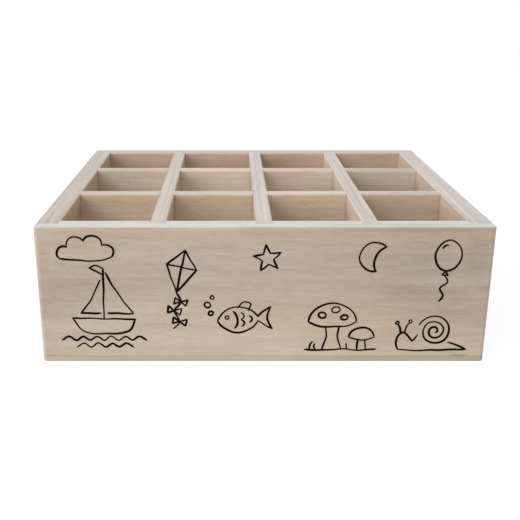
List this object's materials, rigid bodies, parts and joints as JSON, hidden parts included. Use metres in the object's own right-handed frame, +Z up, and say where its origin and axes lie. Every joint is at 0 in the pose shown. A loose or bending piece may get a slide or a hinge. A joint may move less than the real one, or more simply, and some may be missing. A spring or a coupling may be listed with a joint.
{
  "type": "sorting box",
  "caption": "Open-topped wooden sorting box: a low rectangular tray of thick walls with a lapped divider grid that makes twelve deep compartments for small parts.",
  "frame": {"origin": "middle of the flat underside, under the centre of the box", "axes": "+X to the right along the long side, +Y towards the back wall, +Z up out of the compartments"},
  "size_m": [0.3, 0.2606, 0.0954],
  "materials": {
    "wall_wood": "bare, fine sanded",
    "divider_wood": "bare, fine sanded",
    "base_ply": "bare plywood",
    "brad_steel": "bright zinc"
  },
  "bodies": {
    "root": {"base_panel": "base_ply", "front_wall": "wall_wood", "back_wall": "wall_wood", "left_wall": "wall_wood", "right_wall": "wall_wood", "cross_divider_1": "divider_wood", "cross_divider_2": "divider_wood", "cross_divider_3": "divider_wood", "long_divider_1": "divider_wood", "long_divider_2": "divider_wood", "base_brads": "brad_steel"}
  },
  "joints": []
}
